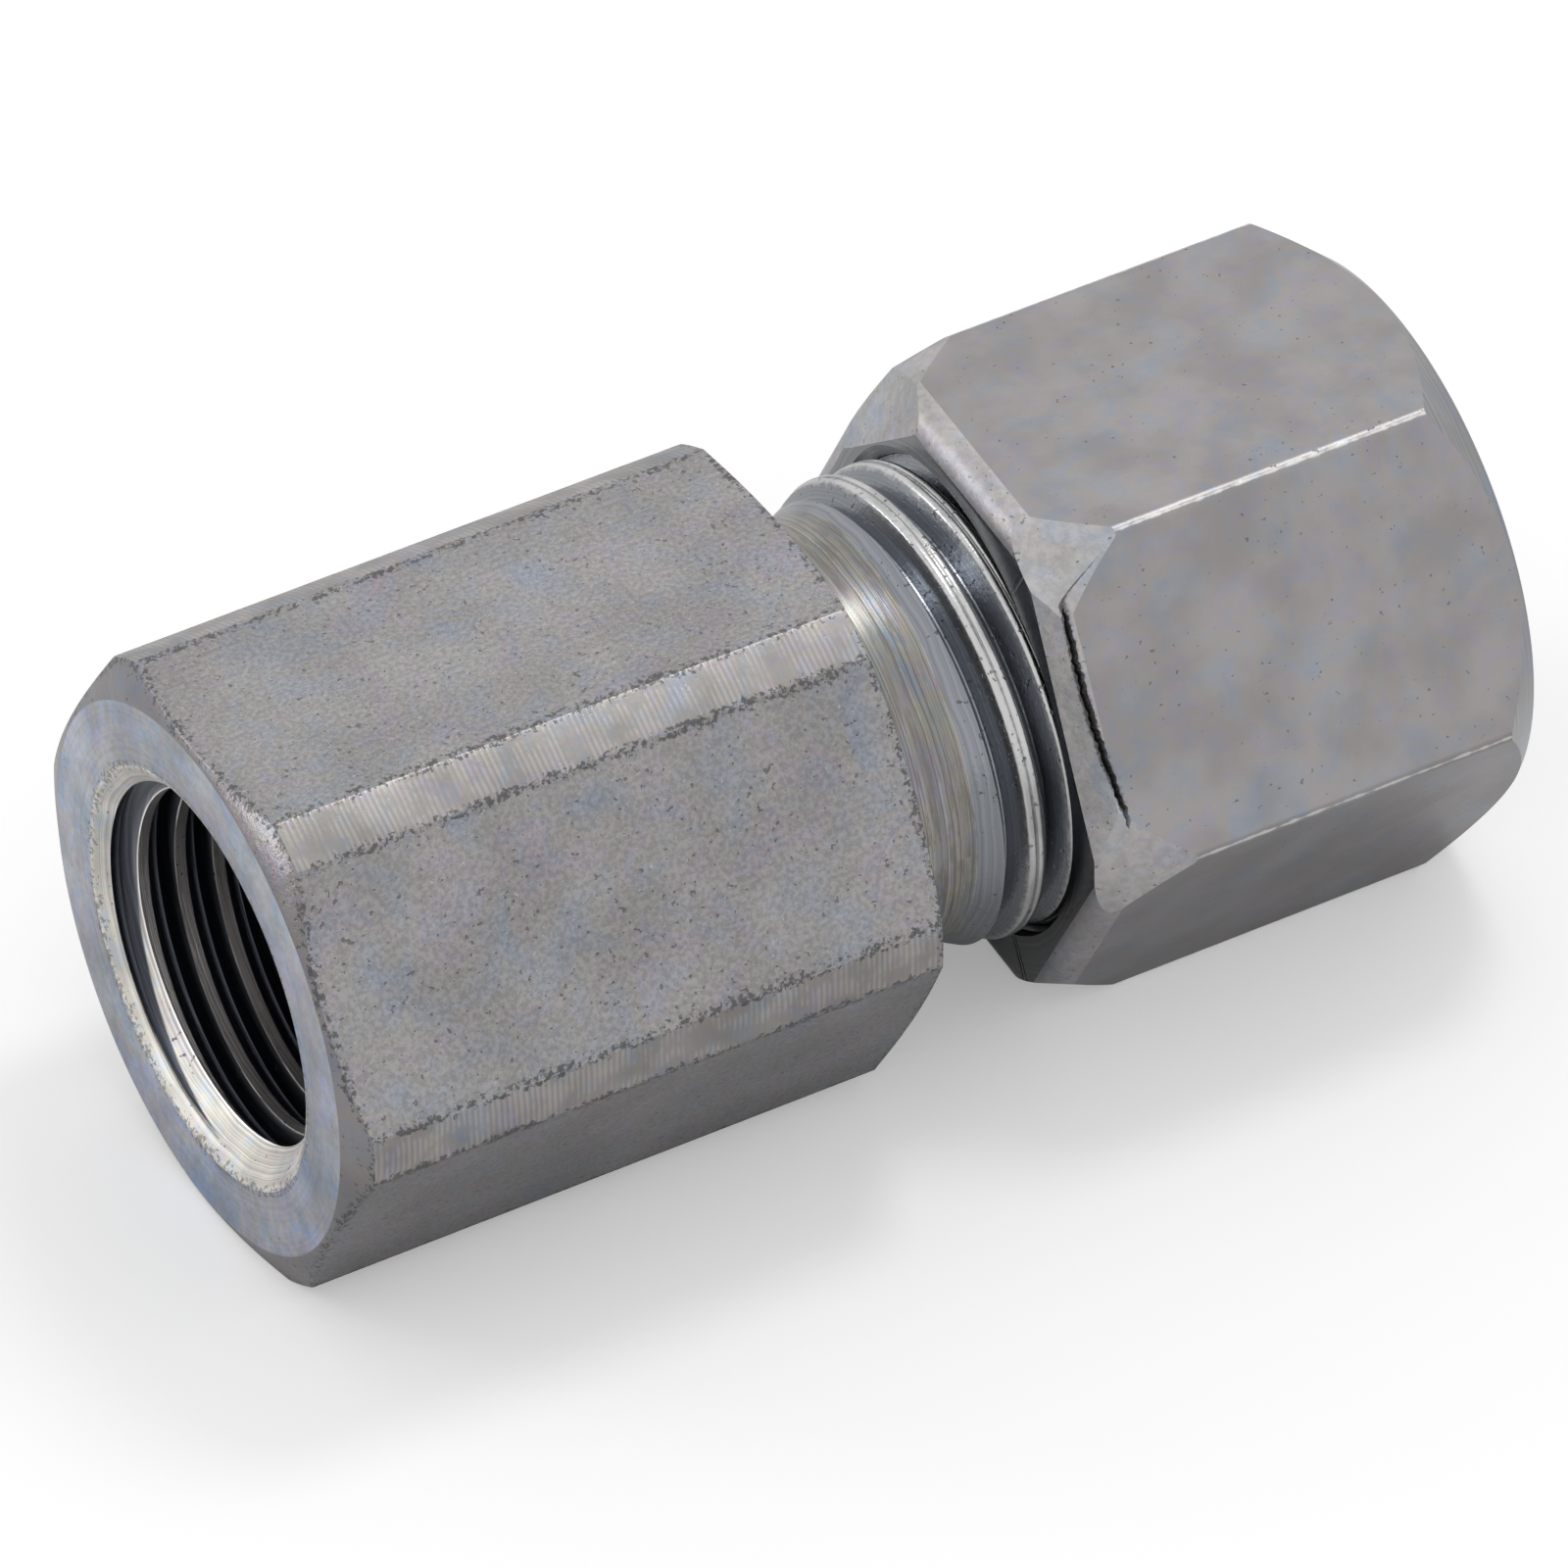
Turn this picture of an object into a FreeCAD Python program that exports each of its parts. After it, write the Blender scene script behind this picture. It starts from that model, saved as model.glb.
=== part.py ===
import FreeCAD, Part
import math
import os

from FreeCAD import Vector

# Female stud coupler, 24 degree cone type, for a 10 mm tube, light series.
# Millimetres. The axis is X, with x = 0 on the face of the female port and the nut at the far end.
# The coupler lies on a flat of both hexagons, so Z is up and a flat faces up and down.

# Tube that the coupler takes, and the play round it where it passes each piece
tube_diameter = 10.0
socket_play = 0.10
ring_play = 0.05
nut_hole_play = 0.15

# Tube socket and cone inside the male end
socket_depth = 7.0
cone_rise = 1.05
cone_included_angle = 24.0

# Neck and male end, M16 x 1.5. Plain rings show the thread, with its pitch, depth and flanks.
end_wall = 1.75
male_end_length = 12.0
male_end_chamfer = 0.8
thread_start_length = 1.2
neck_step = 0.7
neck_length = 2.85
thread_pitch = 1.5
thread_depth = 0.81
thread_angle = 60.0
first_groove = 1.05

# Both hexagons have the same size across flats, 19 mm: the nut's wall over its thread sets it
flat_wall = 1.55

# Head of the body, turned from hexagon bar
head_length = 21.2
head_corner_cut = 0.47
front_chamfer_width = 1.25
front_chamfer_angle = 24.0
rear_chamfer_width = 0.9
rear_chamfer_angle = 15.0

# Female port, parallel pipe thread of a quarter inch, shown as its tapping drill
port_drill_diameter = 11.8
port_drill_depth = 15.0
port_drill_point_angle = 118.0
port_rim_chamfer = 0.8
through_bore_diameter = 8.0

# Cutting ring: walls round its bore, and lengths from its front or rear end
ring_length = 9.5
nose_entry = 3.4
taper_length = 3.4
waist_wall = 0.85
collar_wall = 1.4
collar_length = 2.9
back_wall = 0.35
edge_groove_start = 0.8
edge_groove_length = 1.1
edge_groove_depth = 0.25

# Union nut, cold formed
nut_length = 15.6
nut_corner_cut = 0.07
nut_rear_chamfer_width = 1.5
nut_rear_chamfer_angle = 48.8
nut_front_rounding = 0.9
facet_width = 1.4
facet_length = 2.7
nut_mouth_chamfer = 0.25
nut_thread_length = 8.8
nut_relief_length = 0.6
nut_wall_length = 3.5
tube_hole_chamfer = 0.3

# Clearances between the pieces
thread_clearance = 0.05
seat_clearance = 0.05
collar_clearance = 0.3


def hexagon_bar(x, length, sharp_corner_r):
    """Hexagon bar from the plane at x, with a flat at the top and one at the bottom."""
    corners = []
    for step in range(6):
        turn = math.radians(60 * step)
        corners.append(Vector(x, sharp_corner_r * math.cos(turn), sharp_corner_r * math.sin(turn)))
    section = Part.Face(Part.makePolygon(corners + corners[:1]))
    return section.extrude(Vector(length, 0, 0))


def turned(profile):
    """Solid of revolution about X from (x, r) points."""
    points = [Vector(x, 0, r) for x, r in profile]
    face = Part.Face(Part.makePolygon(points + points[:1]))
    return face.revolve(Vector(0, 0, 0), Vector(1, 0, 0), 360)


# Radii round the tube, and the cone that the ring seats in
tube_r = tube_diameter / 2
socket_r = tube_r + socket_play
ring_bore_r = tube_r + ring_play
tube_hole_r = tube_r + nut_hole_play
cone_half = math.radians(cone_included_angle / 2)
cone_slope = math.tan(cone_half)
cone_mouth_r = socket_r + cone_rise

# Male thread over the cone, and the hexagons over the nut's thread
thread_r = cone_mouth_r + end_wall
neck_r = thread_r - neck_step
nut_thread_r = thread_r + thread_clearance
across_flats = 2 * (nut_thread_r + flat_wall)
sharp_corner_r = across_flats / 2 / math.cos(math.radians(30))

# Places of the body along the axis
head_rear = head_length
neck_rear = head_rear + neck_length
body_end = head_rear + male_end_length
socket_floor = body_end - socket_depth
cone_floor = body_end - cone_rise / cone_slope

# Coupling body: the bar with its corners turned down and its ends chamfered
corner_r = sharp_corner_r - head_corner_cut
front_r = corner_r - front_chamfer_width
rear_r = corner_r - rear_chamfer_width
front_drop = front_chamfer_width * math.tan(math.radians(front_chamfer_angle))
rear_drop = rear_chamfer_width * math.tan(math.radians(rear_chamfer_angle))
bar = hexagon_bar(0, head_length, sharp_corner_r)
head_turning = turned([
    (0, 0),
    (0, front_r),
    (front_drop, corner_r),
    (head_rear - rear_drop, corner_r),
    (head_rear, rear_r),
    (head_rear, 0),
])
head = bar.common(head_turning)

# Neck, the rise into the thread, and the chamfered male end
male_end = turned([
    (head_rear / 2, 0),
    (head_rear / 2, neck_r),
    (neck_rear, neck_r),
    (neck_rear + thread_start_length, thread_r),
    (body_end - male_end_chamfer, thread_r),
    (body_end, thread_r - male_end_chamfer),
    (body_end, 0),
])

# Thread grooves, from the end of the neck up to the chamfer. Each cutter reaches out past the crests.
groove_reach = 1.5 * thread_depth
flank_slope = math.tan(math.radians(thread_angle / 2))
groove_x = neck_rear + first_groove
while groove_x + thread_depth * flank_slope < body_end - male_end_chamfer:
    root_r = thread_r - thread_depth
    groove = turned([
        (groove_x, root_r),
        (groove_x - groove_reach * flank_slope, root_r + groove_reach),
        (groove_x + groove_reach * flank_slope, root_r + groove_reach),
    ])
    male_end = male_end.cut(groove)
    groove_x += thread_pitch

# The way through: port with its rim chamfer and drill point, bore, tube socket and cone
port_r = port_drill_diameter / 2
bore_r = through_bore_diameter / 2
drill_half = math.radians(port_drill_point_angle / 2)
drill_point = (port_r - bore_r) / math.tan(drill_half)
way_through = turned([
    (0, 0),
    (0, port_r + port_rim_chamfer),
    (port_rim_chamfer, port_r),
    (port_drill_depth, port_r),
    (port_drill_depth + drill_point, bore_r),
    (socket_floor, bore_r),
    (socket_floor, socket_r),
    (cone_floor, socket_r),
    (body_end, cone_mouth_r),
    (body_end, 0),
])
coupling_body = head.fuse(male_end).cut(way_through).removeSplitter()

# Cutting ring: the nose has the cone's own taper and lies off it by the seat clearance
ring_front = body_end - nose_entry
ring_rear = ring_front + ring_length
nose_r = cone_mouth_r - nose_entry * cone_slope - seat_clearance / math.cos(cone_half)
taper_end = ring_front + taper_length
taper_r = nose_r + taper_length * cone_slope
waist_r = ring_bore_r + waist_wall
collar_r = ring_bore_r + collar_wall
back_r = ring_bore_r + back_wall
collar_rear = ring_rear - (collar_r - back_r)
collar_front = collar_rear - collar_length

# The groove inside the nose leaves two cutting edges, one at the front and one behind it
groove_r = ring_bore_r + edge_groove_depth
groove_front = ring_front + edge_groove_start
groove_rear = groove_front + edge_groove_length
cutting_ring = turned([
    (ring_front, ring_bore_r),
    (ring_front, nose_r),
    (taper_end, taper_r),
    (taper_end + (taper_r - waist_r), waist_r),
    (collar_front - (collar_r - waist_r), waist_r),
    (collar_front, collar_r),
    (collar_rear, collar_r),
    (ring_rear, back_r),
    (ring_rear, ring_bore_r),
    (groove_rear, ring_bore_r),
    (groove_rear - edge_groove_depth, groove_r),
    (groove_front, groove_r),
    (groove_front, ring_bore_r),
])

# Union nut: its 45 degree shoulder stands off the ring's back cone by the seat clearance
shoulder_rear = ring_rear + back_r + seat_clearance * math.sqrt(2) - tube_hole_r
nut_rear = shoulder_rear + nut_wall_length
nut_front = nut_rear - nut_length

# Hexagon blank, with the front edge of each flat rounded by the forming
nut_blank = hexagon_bar(nut_front, nut_length, sharp_corner_r)
front_edges = [edge for edge in nut_blank.Edges if edge.BoundBox.XMax < nut_front + nut_length / 2]
nut_blank = nut_blank.makeFillet(nut_front_rounding, front_edges)

# Pressed corner facets at the front and the turned chamfer at the rear
nut_corner_r = sharp_corner_r - nut_corner_cut
facet_r = nut_corner_r - facet_width
nut_rear_r = nut_corner_r - nut_rear_chamfer_width
nut_rear_drop = nut_rear_chamfer_width * math.tan(math.radians(nut_rear_chamfer_angle))
nut_turning = turned([
    (nut_front, 0),
    (nut_front, facet_r),
    (nut_front + facet_length, nut_corner_r),
    (nut_rear - nut_rear_drop, nut_corner_r),
    (nut_rear, nut_rear_r),
    (nut_rear, 0),
])

# Inside of the nut: mouth, thread, relief, room for the ring's collar, shoulder and tube hole
mouth_r = nut_thread_r + nut_mouth_chamfer
cavity_r = collar_r + collar_clearance
thread_end = nut_front + nut_thread_length
nut_inside = turned([
    (nut_front, 0),
    (nut_front, mouth_r),
    (nut_front + nut_mouth_chamfer, nut_thread_r),
    (thread_end, nut_thread_r),
    (thread_end + nut_relief_length, cavity_r),
    (shoulder_rear - (cavity_r - tube_hole_r), cavity_r),
    (shoulder_rear, tube_hole_r),
    (nut_rear - tube_hole_chamfer, tube_hole_r),
    (nut_rear, tube_hole_r + tube_hole_chamfer),
    (nut_rear, 0),
])
union_nut = nut_blank.common(nut_turning).cut(nut_inside).removeSplitter()

os.makedirs("parts", exist_ok=True)
coupling_body.exportStep("parts/coupling_body.step")
cutting_ring.exportStep("parts/cutting_ring.step")
union_nut.exportStep("parts/union_nut.step")
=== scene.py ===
import math

import bmesh
import bpy
from mathutils import Matrix, Vector


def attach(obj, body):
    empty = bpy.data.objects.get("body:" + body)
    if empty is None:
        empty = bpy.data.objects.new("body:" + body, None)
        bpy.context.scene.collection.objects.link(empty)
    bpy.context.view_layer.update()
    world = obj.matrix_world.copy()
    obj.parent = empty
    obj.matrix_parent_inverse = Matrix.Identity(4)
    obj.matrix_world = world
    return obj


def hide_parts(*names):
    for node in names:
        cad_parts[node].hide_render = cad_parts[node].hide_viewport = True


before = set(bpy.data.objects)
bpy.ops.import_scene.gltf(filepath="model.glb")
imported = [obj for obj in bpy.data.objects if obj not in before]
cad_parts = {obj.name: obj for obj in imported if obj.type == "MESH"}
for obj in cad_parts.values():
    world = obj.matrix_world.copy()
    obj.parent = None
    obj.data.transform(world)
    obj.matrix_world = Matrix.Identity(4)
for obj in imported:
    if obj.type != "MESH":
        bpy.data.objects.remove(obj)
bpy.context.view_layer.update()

# Coupling body: zinc-plated steel, turned from hexagon bar in one piece. Its corners are turned down, both
# ends of the head are chamfered, and the way through is bored from both ends. Lengths are in millimetres
# until the piece is finished; X runs along the axis from the face of the female port.
flat_height = 9.5
corner_radius = 10.5
face_radius = 9.25
chamfer_length = 0.5565
head_length = 21.2
rear_chamfer_start = 20.88
rear_face_radius = 9.30
rim_radius = 7.08
body_outline = [
    (0.30, 6.62),
    (0.10, 6.88),
    (0.0, 7.10),
    (0.0, face_radius),
    (chamfer_length, corner_radius),
    (rear_chamfer_start, corner_radius),
    (head_length, rear_face_radius),
    (head_length, 7.34),
    (21.34, 7.20),
    (23.90, 7.20),
    (24.02, 7.25),
    (25.20, 7.86),
    (25.40, 7.88),
    (32.4, 7.88),
    (33.2, 7.08),
    (33.2, 6.15),
    (28.26, 5.10),
    (26.2, 5.10),
    (26.2, 4.00),
    (16.14, 4.00),
    (15.0, 5.90),
    (1.02, 5.90),
    (0.62, 6.30),
]
thread_pitch = 1.5
crest_start = 25.10
groove_start = crest_start + thread_pitch / 2
port_pitch = 1.337
port_groove_start = 0.60


def turned(outline, steps, outer_only=False):
    """Solid turned about X, starting at +Y, from the (x, r) points round its section."""
    bm = bmesh.new()
    points = [bm.verts.new((x, r, 0.0)) for x, r in outline]
    rim = [bm.edges.new((points[i - 1], points[i])) for i in range(1, len(points))]
    if not outer_only:
        rim.append(bm.edges.new((points[-1], points[0])))
    bmesh.ops.spin(bm, geom=points + rim, cent=(0, 0, 0), axis=(1, 0, 0), angle=math.tau,
                   steps=steps, use_merge=True)
    bmesh.ops.remove_doubles(bm, verts=bm.verts, dist=1e-5)
    bmesh.ops.recalc_face_normals(bm, faces=bm.faces)
    return bm


def outward_at(degrees):
    """Direction square to the axis, turned so far from +Y towards +Z."""
    turn = math.radians(degrees)
    return Vector((0, math.cos(turn), math.sin(turn)))


def cut_off(bm, spot, outward):
    """Cuts off what lies outside the plane through the spot, and closes the cut."""
    cut = bmesh.ops.bisect_plane(bm, geom=bm.verts[:] + bm.edges[:] + bm.faces[:], plane_co=spot,
                                 plane_no=outward, clear_outer=True)
    rim = [part for part in cut["geom_cut"] if isinstance(part, bmesh.types.BMEdge)]
    bmesh.ops.edgeloop_fill(bm, edges=rim)


def screwed(section, start, first_turn, turns, pitch, steps=120):
    """Right-handed screw cutter about X. Its (x, r) section stands at x = start at +Y in turn 0."""
    bm = bmesh.new()
    points = [bm.verts.new((start + pitch * first_turn + x, r, 0.0)) for x, r in section]
    loop = [bm.edges.new((points[i - 1], points[i])) for i in range(len(points))]
    first_angle = Matrix.Rotation(math.tau * first_turn, 3, "X")
    bmesh.ops.rotate(bm, verts=points, cent=(0, 0, 0), matrix=first_angle)
    bmesh.ops.spin(bm, geom=points + loop, cent=(0, 0, 0), axis=(1, 0, 0), dvec=(pitch / steps, 0, 0),
                   angle=math.tau, steps=steps)
    one_turn = bm.verts[:] + bm.edges[:] + bm.faces[:]
    for turn in range(1, turns):
        copied = bmesh.ops.duplicate(bm, geom=one_turn)["geom"]
        moved = [part for part in copied if isinstance(part, bmesh.types.BMVert)]
        bmesh.ops.translate(bm, verts=moved, vec=(pitch * turn, 0, 0))
    bmesh.ops.remove_doubles(bm, verts=bm.verts, dist=1e-4)
    bmesh.ops.edgeloop_fill(bm, edges=[edge for edge in bm.edges if edge.is_boundary])
    bmesh.ops.recalc_face_normals(bm, faces=bm.faces)
    return bm


def as_piece(name, bm, finishes):
    """New object that holds the mesh, with one material for each zone of its surface."""
    mesh = bpy.data.meshes.new(name)
    bm.to_mesh(mesh)
    bm.free()
    for finish in finishes:
        mesh.materials.append(finish)
    piece = bpy.data.objects.new(name, mesh)
    bpy.context.collection.objects.link(piece)
    return piece


def carve(piece, tool_bm, zone, operation="DIFFERENCE"):
    """Takes the tool's shape from the piece, or keeps what they share. The new faces belong to the zone."""
    for face in tool_bm.faces:
        face.material_index = zone
    tool = as_piece("tool", tool_bm, piece.data.materials)
    cut = piece.modifiers.new("carve", "BOOLEAN")
    cut.operation = operation
    cut.solver = "MANIFOLD"
    cut.object = tool
    carved = bpy.data.meshes.new_from_object(piece.evaluated_get(bpy.context.evaluated_depsgraph_get()))
    piece.modifiers.clear()
    bm = bmesh.new()
    bm.from_mesh(carved)
    # rings square to the axis stay in small faces, since one face can't have a hole
    joined = [edge for edge in bm.edges if min(abs(face.normal.x) for face in edge.link_faces) < 0.98]
    bmesh.ops.dissolve_limit(bm, angle_limit=math.radians(0.05), verts=bm.verts, edges=joined,
                             delimit={"MATERIAL"})
    bm.to_mesh(carved)
    bm.free()
    bare = piece.data
    piece.data = carved
    bpy.data.meshes.remove(bare)
    bpy.data.objects.remove(tool)


def seat(piece, body, node_name, sharp=28):
    """Shades the piece, brings it to metres and gives it its place in the frame."""
    piece.data.shade_smooth()
    piece.data.set_sharp_from_angle(angle=math.radians(sharp))
    piece.data.transform(Matrix.Scale(0.001, 4))
    even = piece.modifiers.new("even_shading", "WEIGHTED_NORMAL")
    even.keep_sharp = True
    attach(piece, body)
    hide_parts(node_name)


def node(tree, kind, inputs=(), **settings):
    """Adds a shader node. Inputs maps a socket's name or number to a value or to another node's output."""
    made = tree.nodes.new("ShaderNode" + kind)
    for name, value in settings.items():
        setattr(made, name, value)
    for socket, value in dict(inputs).items():
        if isinstance(value, bpy.types.NodeSocket):
            tree.links.new(value, made.inputs[socket])
        else:
            made.inputs[socket].default_value = value
    return made


def sum_of(tree, operation, first, second=0.0, third=0.0):
    """Output of one arithmetic node."""
    return node(tree, "Math", {0: first, 1: second, 2: third}, operation=operation).outputs[0]


def grade(tree, value, low, high, to_low=0.0, to_high=1.0):
    """Output of a node that maps low..high smoothly to to_low..to_high."""
    inputs = {"Value": value, "From Min": low, "From Max": high, "To Min": to_low, "To Max": to_high}
    return node(tree, "MapRange", inputs, interpolation_type="SMOOTHSTEP").outputs["Result"]


def scaled(tree, vector, factor):
    """Output of a node that multiplies a place or a colour by one factor."""
    return node(tree, "VectorMath", {0: vector, "Scale": factor}, operation="SCALE").outputs[0]


def noise(tree, place, scale, detail, roughness=0.5):
    """Output of a noise texture."""
    inputs = {"Vector": place, "Scale": scale, "Detail": detail, "Roughness": roughness}
    return node(tree, "TexNoise", inputs).outputs["Fac"]


def blended(tree, amount, first, second, blend="MIX"):
    """Output of a node that blends two colours."""
    mix = node(tree, "Mix", data_type="RGBA", blend_type=blend, clamp_factor=True)
    for socket, value in ((0, amount), (6, first), (7, second)):
        if isinstance(value, bpy.types.NodeSocket):
            tree.links.new(value, mix.inputs[socket])
        else:
            mix.inputs[socket].default_value = value
    return mix.outputs[2]


def effect(name, takes, gives):
    """New node group with the named inputs and outputs, and its input and output nodes."""
    tree = bpy.data.node_groups.new(name, "ShaderNodeTree")
    for label, kind, value in takes:
        socket = tree.interface.new_socket(label, in_out="INPUT", socket_type="NodeSocket" + kind)
        socket.default_value = value
    for label, kind in gives:
        tree.interface.new_socket(label, in_out="OUTPUT", socket_type="NodeSocket" + kind)
    return tree, tree.nodes.new("NodeGroupInput").outputs, tree.nodes.new("NodeGroupOutput").inputs


# where a point lies: millimetres from the centre of the port's face, and turned about the axis
whereabouts, _, out = effect("whereabouts", [],
                             [("Place", "Vector"), ("Along", "Float"), ("Radius", "Float"),
                              ("Angle", "Float"), ("Off Corner", "Float")])
metres = node(whereabouts, "TexCoord").outputs["Object"]
place = scaled(whereabouts, metres, 1000.0)
axes = node(whereabouts, "SeparateXYZ", {0: place}).outputs
across = node(whereabouts, "CombineXYZ", {1: axes[1], 2: axes[2]}).outputs[0]
radius = node(whereabouts, "VectorMath", {0: across}, operation="LENGTH").outputs["Value"]
angle = sum_of(whereabouts, "ARCTAN2", axes[2], axes[1])
off_corner = sum_of(whereabouts, "PINGPONG", angle, math.pi / 6)
for label, value in (("Place", place), ("Along", axes[0]), ("Radius", radius), ("Angle", angle),
                     ("Off Corner", off_corner)):
    whereabouts.links.new(value, out[label])

# passivated zinc: soft blue, yellow and pink films over the metal's grey, and a cloudy brightness
zinc_film, given, out = effect("zinc_film",
                               [("Colour", "Color", (0.3, 0.3, 0.3, 1)), ("Place", "Vector", (0, 0, 0)),
                                ("Amount", "Float", 0.5), ("Patches", "Float", 0.4)],
                               [("Colour", "Color")])
drift = node(zinc_film, "TexNoise", {"Vector": given["Place"], "Scale": given["Patches"], "Detail": 4.0,
                                     "Roughness": 0.62, "Distortion": 0.6}).outputs["Fac"]
films = node(zinc_film, "ValToRGB", {"Fac": drift})
films.color_ramp.elements[0].position = 0.30
films.color_ramp.elements[0].color = (0.86, 0.96, 1.12, 1)
films.color_ramp.elements[1].position = 0.70
films.color_ramp.elements[1].color = (1.10, 0.96, 1.02, 1)
for stop, tint in ((0.39, (0.95, 1.00, 1.07, 1)), (0.45, (1.01, 1.00, 1.00, 1)),
                   (0.51, (1.05, 1.01, 0.93, 1)), (0.57, (1.06, 0.97, 0.99, 1)),
                   (0.63, (0.95, 0.98, 1.09, 1))):
    films.color_ramp.elements.new(stop).color = tint
cloud_scale = sum_of(zinc_film, "MULTIPLY", given["Patches"], 0.7)
clouds = noise(zinc_film, given["Place"], cloud_scale, 3.0)
swing = sum_of(zinc_film, "MULTIPLY", grade(zinc_film, clouds, 0.3, 0.7, -0.13, 0.13), given["Amount"])
brightness = sum_of(zinc_film, "ADD", swing, 1.0)
tinted = blended(zinc_film, given["Amount"], given["Colour"], films.outputs["Color"], "MULTIPLY")
zinc_film.links.new(scaled(zinc_film, tinted, brightness), out["Colour"])

# plated skin of bar and nut: fine orange-peel grain, dark pits and a few bright specks, which are painted
# glints
bar_skin, given, out = effect("bar_skin",
                              [("Place", "Vector", (0, 0, 0)), ("Grain", "Float", 5.0),
                               ("Pitting", "Float", 0.5)],
                              [("Height", "Float"), ("Grain", "Float"), ("Pits", "Float"),
                               ("Painted Glints", "Float")])
peel = noise(bar_skin, given["Place"], given["Grain"], 3.0, 0.6)
crumbs = noise(bar_skin, given["Place"], 4.6, 2.0)
patches = noise(bar_skin, given["Place"], 0.45, 2.0)
few = sum_of(bar_skin, "MULTIPLY_ADD", given["Pitting"], 0.1, sum_of(bar_skin, "MULTIPLY", patches, 0.16))
pits = grade(bar_skin, sum_of(bar_skin, "ADD", crumbs, few), 0.80, 0.86)
# painted glints: a few bright specks where the grain would catch the light
glints = noise(bar_skin, given["Place"], 6.3, 1.0)
painted_glints = grade(bar_skin, sum_of(bar_skin, "MULTIPLY_ADD", patches, -0.1, glints), 0.67, 0.74)
height = sum_of(bar_skin, "SUBTRACT", peel, pits)
for label, value in (("Height", height), ("Grain", peel), ("Pits", pits), ("Painted Glints", painted_glints)):
    bar_skin.links.new(value, out[label])

# broken dark line where a turned or drawn surface tears off at an edge
torn_edge, given, out = effect("torn_edge", [("Place", "Vector", (0, 0, 0)), ("Distance", "Float", 1.0),
                                             ("Width", "Float", 0.2)], [("Mask", "Float")])
crumbs = noise(torn_edge, given["Place"], 5.5, 3.0, 0.7)
patchy = noise(torn_edge, given["Place"], 0.8, 2.0)
reach = sum_of(torn_edge, "DIVIDE", given["Distance"], given["Width"])
falling = grade(torn_edge, reach, 0.4, 2.6, 0.06, -0.20)
level = sum_of(torn_edge, "ADD", crumbs, falling)
level = sum_of(torn_edge, "MULTIPLY_ADD", patchy, 0.30, level)
torn_edge.links.new(grade(torn_edge, level, 0.68, 0.78, 0.0, 0.82), out["Mask"])

# marks that a turning tool leaves: even ribs at its feed, and finer uneven lines between them
tool_marks, given, out = effect("tool_marks", [("Across", "Float", 0.0), ("Feed", "Float", 0.2),
                                               ("Place", "Vector", (0, 0, 0))],
                                [("Ribs", "Float"), ("Lines", "Float")])
sway = noise(tool_marks, given["Place"], 0.5, 1.0)
steps_over = sum_of(tool_marks, "DIVIDE", sum_of(tool_marks, "MULTIPLY_ADD", sway, 0.15, given["Across"]),
                    given["Feed"])
ribs = sum_of(tool_marks, "SINE", sum_of(tool_marks, "MULTIPLY", steps_over, math.tau))
lines = node(tool_marks, "TexNoise", {"W": steps_over, "Scale": 1.7, "Detail": 3.0, "Roughness": 0.7},
             noise_dimensions="1D").outputs["Fac"]
tool_marks.links.new(grade(tool_marks, ribs, -1.0, 1.0), out["Ribs"])
tool_marks.links.new(lines, out["Lines"])

DIRT = (0.085, 0.085, 0.088, 1)


def bare_metal(name, roughness):
    """New metal, with its tree, its shader and the place of each point."""
    material = bpy.data.materials.new(name)
    material.use_nodes = True
    tree = material.node_tree
    shader = tree.nodes["Principled BSDF"]
    shader.inputs["Metallic"].default_value = 1.0
    shader.inputs["Roughness"].default_value = roughness
    return material, tree, shader, node(tree, "Group", node_tree=whereabouts).outputs


def relief(tree, shader, height, depth):
    """Gives the shader a relief of so many millimetres."""
    bump = node(tree, "Bump", {"Height": height, "Distance": depth * 0.001, "Strength": 1.0})
    tree.links.new(bump.outputs["Normal"], shader.inputs["Normal"])


def filmed(tree, colour, place, amount, patches):
    """Colour under the passivation's films."""
    inputs = {"Colour": colour, "Place": place, "Amount": amount, "Patches": patches}
    return node(tree, "Group", inputs, node_tree=zinc_film).outputs["Colour"]


def torn(tree, place, distance, width):
    """Mask of the broken line along an edge."""
    inputs = {"Place": place, "Distance": distance, "Width": width}
    return node(tree, "Group", inputs, node_tree=torn_edge).outputs["Mask"]


def skin_of(tree, place, grain, pitting):
    """Height, grain, pits and specks of the plated skin."""
    inputs = {"Place": place, "Grain": grain, "Pitting": pitting}
    return node(tree, "Group", inputs, node_tree=bar_skin).outputs


def marks_of(tree, across, feed, place):
    """Ribs and lines that the turning tool leaves at its feed."""
    inputs = {"Across": across, "Feed": feed, "Place": place}
    return node(tree, "Group", inputs, node_tree=tool_marks).outputs


# flats of the bar: grey, grained, with painted light and shade of the grain's relief, painted glints, and a
# torn line where the turned bands and chamfers meet them
drawn_flat, tree, shader, at = bare_metal("drawn_flat", 0.38)
skin = skin_of(tree, at["Place"], 6.0, 0.58)
colour = filmed(tree, (0.288, 0.287, 0.298, 1), at["Place"], 0.75, 0.42)
# grain tone, which also paints the light and shade of the orange-peel relief
grain = grade(tree, skin["Grain"], 0.32, 0.68, 0.85, 1.15)
colour = scaled(tree, colour, grain)
over_flat = sum_of(tree, "SUBTRACT", sum_of(tree, "MULTIPLY", at["Radius"], at["Radius"]), flat_height ** 2)
over_flat = sum_of(tree, "SQRT", sum_of(tree, "MAXIMUM", over_flat, 0.0))
half_flat = math.sqrt(corner_radius ** 2 - flat_height ** 2)
to_band = sum_of(tree, "SUBTRACT", half_flat, over_flat)
front_rise = chamfer_length / (corner_radius - face_radius)
front_reach = sum_of(tree, "MULTIPLY", sum_of(tree, "SUBTRACT", at["Radius"], face_radius), front_rise)
to_front = sum_of(tree, "SUBTRACT", at["Along"], front_reach)
rear_rise = (head_length - rear_chamfer_start) / (corner_radius - rear_face_radius)
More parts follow.
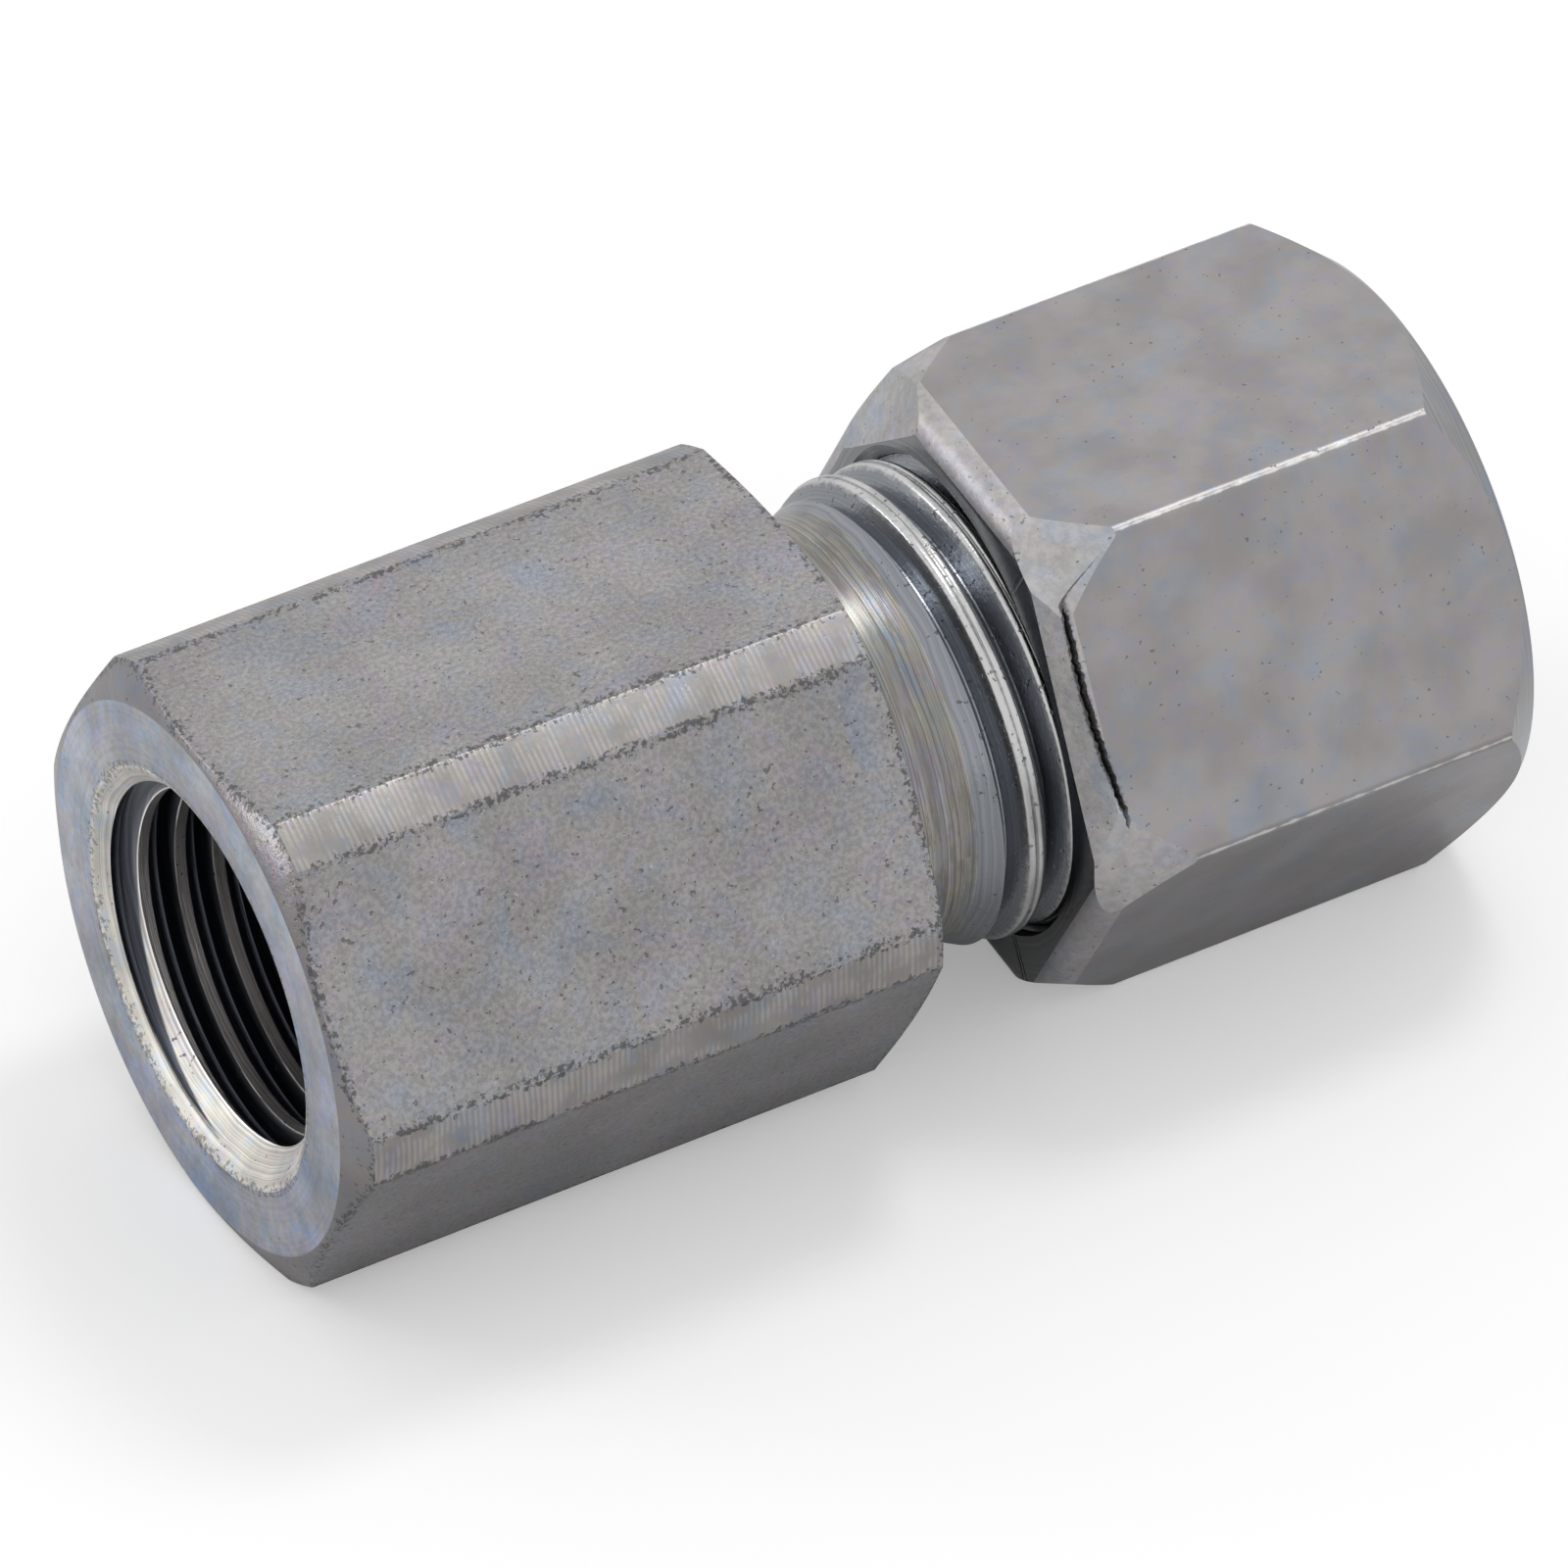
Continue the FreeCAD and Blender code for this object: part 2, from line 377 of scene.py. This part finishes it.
rear_reach = sum_of(tree, "MULTIPLY", sum_of(tree, "SUBTRACT", at["Radius"], rear_face_radius), rear_rise)
to_rear = sum_of(tree, "SUBTRACT", head_length, sum_of(tree, "ADD", at["Along"], rear_reach))
to_edge = sum_of(tree, "MINIMUM", sum_of(tree, "MINIMUM", to_band, to_front), to_rear)
pits = sum_of(tree, "MULTIPLY", skin["Pits"], 0.6)
dark = sum_of(tree, "MAXIMUM", torn(tree, at["Place"], to_edge, 0.22), pits)
colour = blended(tree, dark, colour, DIRT)
# painted glints: the bright specks blended over the flat
colour = blended(tree, sum_of(tree, "MULTIPLY", skin["Painted Glints"], 0.45), colour, (0.55, 0.53, 0.51, 1))
tree.links.new(colour, shader.inputs["Base Color"])
relief(tree, shader, skin["Height"], 0.025)

# turned-down corners: lighter, ribbed across by the tool
turned_band, tree, shader, at = bare_metal("turned_band", 0.38)
skin = skin_of(tree, at["Place"], 5.0, 0.22)
colour = filmed(tree, (0.325, 0.32, 0.322, 1), at["Place"], 0.9, 0.7)
marks = marks_of(tree, at["Along"], 0.2, at["Place"])
uneven = noise(tree, at["Place"], 1.2, 2.0)
ribs = sum_of(tree, "MULTIPLY", marks["Ribs"], grade(tree, uneven, 0.35, 0.65, 0.0, 0.8))
smooth = sum_of(tree, "MULTIPLY_ADD", uneven, 0.6, sum_of(tree, "MULTIPLY_ADD", marks["Lines"], 0.6, ribs))
shade = grade(tree, smooth, 0.3, 1.4, 0.85, 1.16)
colour = scaled(tree, colour, shade)
half_band = math.pi / 6 - math.acos(flat_height / corner_radius)
to_flat = sum_of(tree, "MULTIPLY", sum_of(tree, "SUBTRACT", half_band, at["Off Corner"]), corner_radius)
to_rear = sum_of(tree, "ABSOLUTE", sum_of(tree, "SUBTRACT", rear_chamfer_start, at["Along"]))
dark = torn(tree, at["Place"], sum_of(tree, "MINIMUM", to_flat, to_rear), 0.16)
colour = blended(tree, dark, colour, DIRT)
tree.links.new(colour, shader.inputs["Base Color"])
height = sum_of(tree, "MULTIPLY_ADD", skin["Height"], 0.6, ribs)
relief(tree, shader, height, 0.008)

# front face: faced off, under strong films, with faint circular marks
faced_front, tree, shader, at = bare_metal("faced_front", 0.40)
skin = skin_of(tree, at["Place"], 3.0, 0.2)
colour = filmed(tree, (0.395, 0.437, 0.505, 1), at["Place"], 1.0, 0.30)
colour = filmed(tree, colour, at["Place"], 1.0, 0.8)
marks = marks_of(tree, at["Radius"], 0.25, at["Place"])
shade = grade(tree, marks["Lines"], 0.3, 0.7, 0.93, 1.07)
colour = scaled(tree, colour, shade)
grain = grade(tree, skin["Grain"], 0.32, 0.68, 0.92, 1.08)
colour = scaled(tree, colour, grain)
to_rim = sum_of(tree, "SUBTRACT", at["Radius"], rim_radius)
crumbs = sum_of(tree, "MULTIPLY", torn(tree, at["Place"], to_rim, 0.16), 0.7)
colour = blended(tree, sum_of(tree, "MULTIPLY_ADD", skin["Pits"], 0.5, crumbs), colour, DIRT)
tree.links.new(colour, shader.inputs["Base Color"])
height = sum_of(tree, "MULTIPLY_ADD", skin["Height"], 0.5, marks["Lines"])
relief(tree, shader, height, 0.006)

# front chamfer: a bright turned strip with dark crumbs where it meets the flats
bright_chamfer, tree, shader, at = bare_metal("bright_chamfer", 0.30)
skin = skin_of(tree, at["Place"], 5.0, 0.7)
colour = filmed(tree, (0.25, 0.245, 0.255, 1), at["Place"], 0.9, 0.5)
off_middle = sum_of(tree, "SUBTRACT", math.pi / 6, at["Off Corner"])
inside_flat = sum_of(tree, "MULTIPLY", sum_of(tree, "COSINE", off_middle), at["Radius"])
to_flat = sum_of(tree, "SUBTRACT", flat_height, inside_flat)
to_band = sum_of(tree, "SUBTRACT", corner_radius, at["Radius"])
dark = torn(tree, at["Place"], sum_of(tree, "MINIMUM", to_flat, to_band), 0.2)
dark = sum_of(tree, "MAXIMUM", dark, sum_of(tree, "MULTIPLY", skin["Pits"], 0.7))
colour = blended(tree, dark, colour, DIRT)
tree.links.new(colour, shader.inputs["Base Color"])
relief(tree, shader, skin["Height"], 0.015)

# neck: bright turned surface with films and brown streaks round it
striped_neck, tree, shader, at = bare_metal("striped_neck", 0.28)
stripes = node(tree, "CombineXYZ", {0: sum_of(tree, "MULTIPLY", at["Along"], 1.5),
                                    1: sum_of(tree, "MULTIPLY", at["Angle"], 1.2)}).outputs[0]
colour = filmed(tree, (0.285, 0.30, 0.295, 1), stripes, 1.0, 1.1)
colour = filmed(tree, colour, at["Place"], 1.0, 0.5)
marks = marks_of(tree, at["Along"], 0.16, at["Place"])
shade = grade(tree, marks["Lines"], 0.30, 0.70, 0.62, 1.22)
colour = scaled(tree, colour, shade)
streaks = noise(tree, stripes, 2.6, 4.0, 0.7)
colour = blended(tree, grade(tree, streaks, 0.46, 0.62, 0.0, 0.6), colour, (0.16, 0.145, 0.14, 1))
tree.links.new(colour, shader.inputs["Base Color"])
relief(tree, shader, marks["Lines"], 0.006)

# rolled thread: bright crests with nicks, over blue-grey grooves made darker by painted shade
rolled_thread, tree, shader, at = bare_metal("rolled_thread", 0.24)
marks = marks_of(tree, at["Radius"], 0.15, at["Place"])
skin = skin_of(tree, at["Place"], 4.5, 0.6)
# painted shade: darker colour on the flanks and in the grooves below the crests
high = sum_of(tree, "MULTIPLY_ADD", skin["Grain"], 0.45, at["Radius"])
colour = blended(tree, grade(tree, high, 7.88, 8.08), (0.26, 0.275, 0.30, 1), (0.50, 0.50, 0.50, 1))
shade = grade(tree, marks["Lines"], 0.3, 0.7, 0.85, 1.15)
colour = scaled(tree, colour, shade)
colour = blended(tree, sum_of(tree, "MULTIPLY", skin["Pits"], 0.7), colour, DIRT)
tree.links.new(colour, shader.inputs["Base Color"])
relief(tree, shader, skin["Height"], 0.01)

# inside of the port and bores: a light rim, then darker with oil and painted shade, deepest in the thread's
# grooves, with painted highlights on the thread's crests and fine rings left by the drill and tap
oiled_shaded_bore, tree, shader, at = bare_metal("oiled_shaded_bore", 0.32)
marks = marks_of(tree, at["Along"], 0.12, at["Place"])
skin = skin_of(tree, at["Place"], 5.0, 0.3)
rim_colour = filmed(tree, (0.62, 0.62, 0.60, 1), at["Place"], 1.0, 0.9)
# past the rim it turns darker: oil, and painted shade inside the bore
into_thread = grade(tree, sum_of(tree, "ADD", at["Radius"], at["Along"]), 6.95, 7.00)
into_thread = sum_of(tree, "MULTIPLY", into_thread, grade(tree, at["Along"], 0.32, 0.42))
deep = sum_of(tree, "MAXIMUM", into_thread, grade(tree, at["Along"], 0.98, 1.06))
crumbs = torn(tree, at["Place"], sum_of(tree, "SUBTRACT", rim_radius, at["Radius"]), 0.20)
rim_colour = blended(tree, sum_of(tree, "MULTIPLY", crumbs, 0.7), rim_colour, DIRT)
# painted shade: darker down in the port thread's grooves
groove_shade = grade(tree, at["Radius"], 5.96, 6.20)
shaded_groove_colour = blended(tree, groove_shade, (0.17, 0.18, 0.205, 1), (0.06, 0.065, 0.08, 1))
colour = blended(tree, deep, rim_colour, shaded_groove_colour)
tree.links.new(grade(tree, deep, 0.0, 1.0, 0.50, 0.30), shader.inputs["Roughness"])
# painted highlight: near-white lines along the port thread's crests
crest_highlight = grade(tree, at["Radius"], 5.97, 5.92)
colour = blended(tree, crest_highlight, colour, (0.95, 0.90, 0.88, 1))
shade = grade(tree, marks["Lines"], 0.3, 0.7, 0.75, 1.25)
colour = scaled(tree, colour, shade)
colour = blended(tree, sum_of(tree, "MULTIPLY", skin["Pits"], 0.8), colour, DIRT)
tree.links.new(colour, shader.inputs["Base Color"])
height = sum_of(tree, "MULTIPLY_ADD", skin["Height"], 0.6, marks["Lines"])
relief(tree, shader, height, 0.008)

# zones of the body's surface, in the order of its materials
FLAT, BAND, FACE, CHAMFER, NECK, THREAD, INSIDE = range(7)
body_finishes = [drawn_flat, turned_band, faced_front, bright_chamfer, striped_neck, rolled_thread,
                 oiled_shaded_bore]


def zone_of_body(face):
    """Which surface of the body the face belongs to, told by its place between the outline's steps."""
    x, y, z = face.calc_center_median()
    r = math.hypot(y, z)
    if len(face.verts) > 40 and face.calc_area() > 100:
        return FLAT
    if x < 0.6 and r > 7.15:
        return FACE if face.normal.x < -0.98 else CHAMFER
    if x < 16.2 and r < 7.15:
        return INSIDE
    if x < head_length + 0.05 and r > 9.0:
        return BAND
    if x < 24.1 and r > 7.15:
        return NECK
    if x < 33.3 and r > 6.2:
        return THREAD
    return INSIDE


body_bm = turned(body_outline, 288)
for degrees in range(30, 360, 60):
    outward = outward_at(degrees)
    cut_off(body_bm, outward * flat_height, outward)
bmesh.ops.recalc_face_normals(body_bm, faces=body_bm.faces)
for face in body_bm.faces:
    face.material_index = zone_of_body(face)
edges = [edge for edge in body_bm.edges
         if edge.calc_face_angle(0) > math.radians(12) and edge.verts[0].co.yz.length > 9.0]
rear_edges = [edge for edge in edges if min(vert.co.x for vert in edge.verts) > 20.0]
worn = [edge for edge in edges if edge not in rear_edges]
bmesh.ops.bevel(body_bm, geom=worn, affect="EDGES", offset=0.07, segments=2, profile=0.5, material=-1)
rear_edges = [edge for edge in rear_edges if edge.is_valid]
bmesh.ops.bevel(body_bm, geom=rear_edges, affect="EDGES", offset=0.02, segments=1, profile=0.5, material=-1)
coupling_body = as_piece("coupling_body_looks", body_bm, body_finishes)

# its rolled male thread, with the fold that rolling leaves along each crest, and its tapped port
male_groove = [(-0.03, 7.09), (-0.44, 7.79), (-0.48, 7.84), (-0.54, 7.868), (-0.62, 7.872), (-0.68, 7.862),
               (-0.73, 7.845), (-0.735, 8.3), (0.735, 8.3), (0.73, 7.845), (0.68, 7.858), (0.62, 7.865),
               (0.54, 7.86), (0.48, 7.83), (0.44, 7.78), (0.03, 7.09)]
carve(coupling_body, screwed(male_groove, groove_start, -1.05, 7, thread_pitch), THREAD)
crest_fold = [(-0.035, 8.3), (0.0, 7.80), (0.035, 8.3)]
carve(coupling_body, screwed(crest_fold, crest_start, 0.0, 6, thread_pitch), THREAD)
port_groove = [(-0.53, 5.82), (-0.15, 6.56), (-0.07, 6.60), (0.07, 6.60), (0.15, 6.56), (0.53, 5.82)]
carve(coupling_body, screwed(port_groove, port_groove_start, -1.5, 11, port_pitch), INSIDE)

# each flat is made one face again, because the carving splits it
body_bm = bmesh.new()
body_bm.from_mesh(coupling_body.data)
for degrees in range(30, 360, 60):
    outward = outward_at(degrees)
    split = [face for face in body_bm.faces
             if face.material_index == FLAT and face.calc_center_median().dot(outward) > flat_height - 0.05]
    bmesh.ops.dissolve_faces(body_bm, faces=split)
body_bm.to_mesh(coupling_body.data)
body_bm.free()
seat(coupling_body, "body", "coupling_body")

# Cutting ring: hardened steel, turned and zinc plated. It lies loose between the cone and the nut's
# shoulder, and its nose has two cutting edges that bite into the tube.
ring_outline = [
    (29.8, 5.05),
    (29.8, 5.376),
    (33.2, 6.098),
    (33.4, 5.90),
    (34.8, 5.90),
    (35.35, 6.45),
    (38.25, 6.45),
    (39.3, 5.40),
    (39.3, 5.05),
    (31.7, 5.05),
    (31.45, 5.30),
    (30.6, 5.30),
    (30.6, 5.05),
]
turned_ring, tree, shader, at = bare_metal("turned_ring", 0.27)
marks = marks_of(tree, at["Along"], 0.12, at["Place"])
colour = filmed(tree, (0.42, 0.42, 0.41, 1), at["Place"], 0.8, 0.5)
shade = grade(tree, marks["Lines"], 0.3, 0.7, 0.85, 1.15)
colour = scaled(tree, colour, shade)
tree.links.new(colour, shader.inputs["Base Color"])
relief(tree, shader, marks["Lines"], 0.006)
cutting_ring = as_piece("cutting_ring_looks", turned(ring_outline, 192), [turned_ring])
seat(cutting_ring, "ring", "cutting_ring")

# Union nut: cold-formed hexagon nut of zinc-plated steel. The press rounds the front edge of each flat and
# leaves a facet on each corner; the rear chamfer, the bore and the thread are cut afterwards.
nut_front = 27.521
nut_rear = 43.121
bar_radius = 10.969
nut_bar = [(nut_front, 0.0), (nut_front, bar_radius), (nut_rear, bar_radius), (nut_rear, 0.0)]

# its front leans as the press left it: x grows by front_lean for each millimetre of y and is nut_front at
# lean_foot, so that press_front lies ahead of all of it
press_front = 26.40
front_lean = 0.045
lean_foot = 5.48

# two more planes that the press gave the front: degrees round the axis, x, radius and slant
pressed_planes = [(46, nut_front, 8.25, 30), (150, 26.95, 8.62, 39)]

# the fold that it tore open along the front edge of one flat, how that bows, and the furrow at its foot
fold_middle = -7.99
fold_front = 27.54
fold_bow = 0.0563
fold_slope = -0.0367
furrow_ends = (-3.95, 4.40)
furrow_sections = 49
furrow_depth = 0.30

# torn fibres and painted shade of the furrow where the press folded the front edge of one flat, as a mask
torn_fold_and_shade, _, out = effect("torn_fold_and_shade", [], [("Mask", "Float")])
at = node(torn_fold_and_shade, "Group", node_tree=whereabouts).outputs
fibre_place = node(torn_fold_and_shade, "VectorMath", {0: at["Place"], 1: (1.8, 9.0, 9.0)},
                   operation="MULTIPLY").outputs[0]
fibres = noise(torn_fold_and_shade, fibre_place, 1.0, 5.0, 0.7)
sideways = node(torn_fold_and_shade, "SeparateXYZ", {0: at["Place"]}).outputs[1]
off_middle = sum_of(torn_fold_and_shade, "SUBTRACT", sideways, fold_middle)
slope = sum_of(torn_fold_and_shade, "MULTIPLY_ADD", off_middle, fold_bow, fold_slope)
bow = sum_of(torn_fold_and_shade, "MULTIPLY", off_middle, slope)
near_corner = grade(torn_fold_and_shade, sideways, -6.15, -5.48, 0.0, 2.2)
fold = sum_of(torn_fold_and_shade, "ADD", sum_of(torn_fold_and_shade, "ADD", bow, fold_front), near_corner)
off_fold = sum_of(torn_fold_and_shade, "SUBTRACT", at["Along"], fold)
level = sum_of(torn_fold_and_shade, "ADD", fibres, grade(torn_fold_and_shade, off_fold, -0.16, 0.0, -0.50, 0.30))
level = sum_of(torn_fold_and_shade, "SUBTRACT", level, grade(torn_fold_and_shade, off_fold, 0.02, 0.50, 0.0, 0.74))
on_flat = sum_of(torn_fold_and_shade, "ABSOLUTE", sum_of(torn_fold_and_shade, "SUBTRACT", at["Angle"], math.radians(146)))
level = sum_of(torn_fold_and_shade, "ADD", level, grade(torn_fold_and_shade, on_flat, 0.36, 0.46, 0.0, -0.6))
torn_fold_and_shade.links.new(grade(torn_fold_and_shade, level, 0.40, 0.80, 0.0, 1.0), out["Mask"])
# colour of the torn metal and of the painted shade in the fold's furrow
TORN_METAL_AND_SHADE = (0.11, 0.11, 0.115, 1)

# flats of the nut: smoother than the bar, faintly filmed, with small pits, lighter lines along the corners,
# and torn metal with painted furrow shade along the fold
formed_flat, tree, shader, at = bare_metal("formed_flat", 0.36)
skin = skin_of(tree, at["Place"], 2.2, 0.24)
colour = filmed(tree, (0.300, 0.296, 0.306, 1), at["Place"], 0.75, 0.60)
colour = blended(tree, sum_of(tree, "MULTIPLY", skin["Pits"], 0.55), colour, DIRT)
# lighter lines along the corners, broken up by noise
from_corner = sum_of(tree, "MULTIPLY", at["Off Corner"], 10.9)
corner_breaks = noise(tree, at["Place"], 2.0, 3.0)
lighter_corners = grade(tree, sum_of(tree, "MULTIPLY_ADD", corner_breaks, -0.22, from_corner), -0.04, -0.11)
colour = blended(tree, lighter_corners, colour, (0.62, 0.62, 0.60, 1))
# torn metal and painted shade along the fold's furrow
fold = node(tree, "Group", node_tree=torn_fold_and_shade).outputs["Mask"]
colour = blended(tree, fold, colour, TORN_METAL_AND_SHADE)
tree.links.new(colour, shader.inputs["Base Color"])
relief(tree, shader, skin["Height"], 0.012)

# pressed front and corner facets: lighter, mottled by rubbing, with torn metal and painted furrow shade
# along the fold
pressed_front, tree, shader, at = bare_metal("pressed_front", 0.45)
skin = skin_of(tree, at["Place"], 3.0, 0.5)
colour = filmed(tree, (0.43, 0.43, 0.44, 1), at["Place"], 0.7, 0.6)
rubs = noise(tree, at["Place"], 2.8, 5.0, 0.75)
shade = grade(tree, rubs, 0.36, 0.64, 0.88, 1.07)
colour = scaled(tree, colour, shade)
colour = blended(tree, sum_of(tree, "MULTIPLY", skin["Pits"], 0.6), colour, DIRT)
# torn metal and painted shade along the fold's furrow
fold = node(tree, "Group", node_tree=torn_fold_and_shade).outputs["Mask"]
colour = blended(tree, fold, colour, TORN_METAL_AND_SHADE)
tree.links.new(colour, shader.inputs["Base Color"])
relief(tree, shader, sum_of(tree, "ADD", skin["Height"], rubs), 0.012)

# turned surfaces of the nut: the front plane, the rear chamfer and all of the inside, with painted shade
# towards the front
turned_nut, tree, shader, at = bare_metal("turned_nut", 0.22)
marks = marks_of(tree, at["Radius"], 0.2, at["Place"])
colour = filmed(tree, (0.30, 0.31, 0.33, 1), at["Place"], 0.8, 0.4)
# painted shade: darker towards the front, over the front plane and the mouth, which lie in the shade
# between the nut and the body's head
colour = blended(tree, grade(tree, at["Along"], 40.0, 30.0), colour, (0.21, 0.215, 0.225, 1))
shade = grade(tree, marks["Lines"], 0.3, 0.7, 0.85, 1.15)
colour = scaled(tree, colour, shade)
tree.links.new(colour, shader.inputs["Base Color"])
relief(tree, shader, marks["Lines"], 0.004)

NUT_FLAT, PRESSED, TURNED = range(3)
nut_bm = turned(nut_bar, 6, outer_only=True)
bmesh.ops.dissolve_limit(nut_bm, angle_limit=math.radians(1), verts=nut_bm.verts, edges=nut_bm.edges)
for vert in nut_bm.verts:
    if vert.co.x < nut_front + 1:
        vert.co.x += front_lean * (vert.co.y - lean_foot)
long_edges = [edge for edge in nut_bm.edges if abs(edge.verts[0].co.x - edge.verts[1].co.x) > 10]
bmesh.ops.bevel(nut_bm, geom=long_edges, affect="EDGES", offset=0.26, segments=5, profile=0.5, material=-1)
front_edges = [edge for edge in nut_bm.edges if max(v.co.x for v in edge.verts) < nut_front + 0.5]
bmesh.ops.bevel(nut_bm, geom=front_edges, affect="EDGES", offset=0.95, segments=8, profile=0.5, material=-1)
for degrees, x, r, slant in pressed_planes:
    outward = outward_at(degrees)
    facing = outward * math.sin(math.radians(slant)) - Vector((math.cos(math.radians(slant)), 0, 0))
    cut_off(nut_bm, Vector((x, 0, 0)) + outward * r, facing)
bmesh.ops.recalc_face_normals(nut_bm, faces=nut_bm.faces)
# the ends are split into triangles, because one face can't have the hole that the bore cuts
bmesh.ops.poke(nut_bm, faces=[face for face in nut_bm.faces if abs(face.normal.x) > 0.98])
for face in nut_bm.faces:
    face.material_index = NUT_FLAT if abs(face.normal.x) < 0.02 else PRESSED
    if face.normal.x < -0.98:
        face.material_index = TURNED
union_nut = as_piece("union_nut_looks", nut_bm, [formed_flat, pressed_front, turned_nut])

facet_cone = [(press_front, 0.0), (press_front, 9.551), (31.2, 11.27), (46.0, 11.41), (46.0, 0.0)]
facet_bm = turned(facet_cone, 288, outer_only=True)
off_corners = Matrix.Rotation(math.radians(0.4), 3, "X")
lean = Matrix.Rotation(math.radians(2.4), 3, Vector((0, 0.29, -0.96)))
bmesh.ops.rotate(facet_bm, verts=facet_bm.verts, cent=(27.5, 0, 0), matrix=lean @ off_corners)
bmesh.ops.translate(facet_bm, verts=facet_bm.verts, vec=(0, 0.17, 0.05))
carve(union_nut, facet_bm, PRESSED, "INTERSECT")

# the furrow at the fold's foot: a ragged V along the flat, deepest in its middle
furrow_bm = bmesh.new()
along_flat = Vector((0, 0.5, 0.866))
out_of_flat = Vector((0, -0.866, 0.5))
sections = []
for i in range(furrow_sections):
    t = furrow_ends[0] + (furrow_ends[1] - furrow_ends[0]) * i / (furrow_sections - 1)
    off_middle = 0.5 * t - 0.24
    ragged = 0.03 * math.sin(2.9 * i) + 0.02 * math.sin(5.3 * i)
    x = fold_front + 0.01 + off_middle * (fold_bow * off_middle + fold_slope) + ragged
    deepest_in_middle = math.sin(math.pi * (i + 0.7) / (furrow_sections + 0.4)) ** 0.5
    depth = furrow_depth * deepest_in_middle + 0.04 * math.sin(4.1 * i)
    sections.append([furrow_bm.verts.new(out_of_flat * r + along_flat * t + Vector((x + dx, 0, 0)))
                     for dx, r in ((-0.10, 9.8), (0.04, 9.42 - depth), (0.30, 9.8))])
for first, second in zip(sections, sections[1:]):
    for k in range(3):
        furrow_bm.faces.new((first[k - 1], first[k], second[k], second[k - 1]))
furrow_bm.faces.new(sections[0])
furrow_bm.faces.new(sections[-1])
bmesh.ops.recalc_face_normals(furrow_bm, faces=furrow_bm.faces)
carve(union_nut, furrow_bm, PRESSED)

nut_groove = [(-0.688, 7.2), (-0.22, 8.01), (-0.16, 8.04), (0.16, 8.04), (0.22, 8.01), (0.688, 7.2)]
carve(union_nut, screwed(nut_groove, crest_start, 0.9, 6, thread_pitch), TURNED)
nut_outline = [
    (nut_front, 8.179),
    (press_front, 8.179),
    (press_front, 12.0),
    (40.151, 12.0),
    (43.4, 9.156),
    (43.4, 5.73),
    (42.821, 5.15),
    (39.621, 5.15),
    (38.021, 6.75),
    (36.921, 6.75),
    (36.371, 7.30),
    (28.40, 7.30),
]
carve(union_nut, turned(nut_outline, 288), TURNED, "INTERSECT")
seat(union_nut, "nut", "union_nut", sharp=14)

# Floor: a plain pale table top that the coupler lies on, reaching past the camera's view. It keeps the
# coupler's shadow, and a faint glow that only the camera sees makes the open floor white.
floor_bm = bmesh.new()
bmesh.ops.create_grid(floor_bm, x_segments=1, y_segments=1, size=1.5)
bmesh.ops.translate(floor_bm, verts=floor_bm.verts, vec=(0.02, 0.0, -0.0095))
floor_paint = bpy.data.materials.new("floor_paint")
floor_paint.use_nodes = True
paint = floor_paint.node_tree
shader = paint.nodes["Principled BSDF"]
shader.inputs["Base Color"].default_value = (0.85, 0.85, 0.85, 1)
shader.inputs["Roughness"].default_value = 0.9
shader.inputs["Specular IOR Level"].default_value = 0.0
shader.inputs["Emission Color"].default_value = (1, 1, 1, 1)
rays = node(paint, "LightPath").outputs
paint.links.new(sum_of(paint, "MULTIPLY", rays["Is Camera Ray"], 0.27), shader.inputs["Emission Strength"])
floor = as_piece("floor", floor_bm, [floor_paint])

# Studio: soft white room with three round soft lamps, one above, one low at the left and one behind
world = bpy.data.worlds.new("studio")
bpy.context.scene.world = world
world.use_nodes = True
room = world.node_tree
rays = node(room, "LightPath").outputs
seen = sum_of(room, "MAXIMUM", rays["Is Camera Ray"], rays["Is Glossy Ray"])
room.nodes["Background"].inputs["Color"].default_value = (1, 1, 1, 1)
room.links.new(grade(room, seen, 0.0, 1.0, 0.75, 1.0), room.nodes["Background"].inputs["Strength"])


def soft_lamp(name, spot, target, size, power):
    """Round area lamp at the spot, turned to the target."""
    lamp = bpy.data.lights.new(name, "AREA")
    lamp.shape = "DISK"
    lamp.size = size
    lamp.energy = power
    holder = bpy.data.objects.new(name, lamp)
    holder.location = spot
    holder.rotation_euler = (Vector(target) - Vector(spot)).to_track_quat("-Z", "Y").to_euler()
    bpy.context.collection.objects.link(holder)


centre = (0.021, 0.0, 0.0)
soft_lamp("top_lamp", (0.17, 0.07, 0.40), centre, 0.12, 0.28)
soft_lamp("left_lamp", (-0.45, 0.18, 0.02), centre, 0.12, 0.2)
soft_lamp("back_lamp", (-0.33, 0.34, 0.20), centre, 0.18, 0.22)

# Camera: a long lens that looks down on the port's end
camera_data = bpy.data.cameras.new("photo_camera")
camera_data.sensor_width = 36.0
camera_data.lens = 514.28
camera_data.clip_start = 0.05
camera_data.clip_end = 10.0
camera = bpy.data.objects.new("photo_camera", camera_data)
camera.location = (-0.239399, -0.468754, 0.462636)
camera.rotation_euler = (0.857650, 0.011933, -0.517547)
bpy.context.collection.objects.link(camera)
bpy.context.scene.camera = camera
bpy.context.scene.view_settings.view_transform = "Standard"
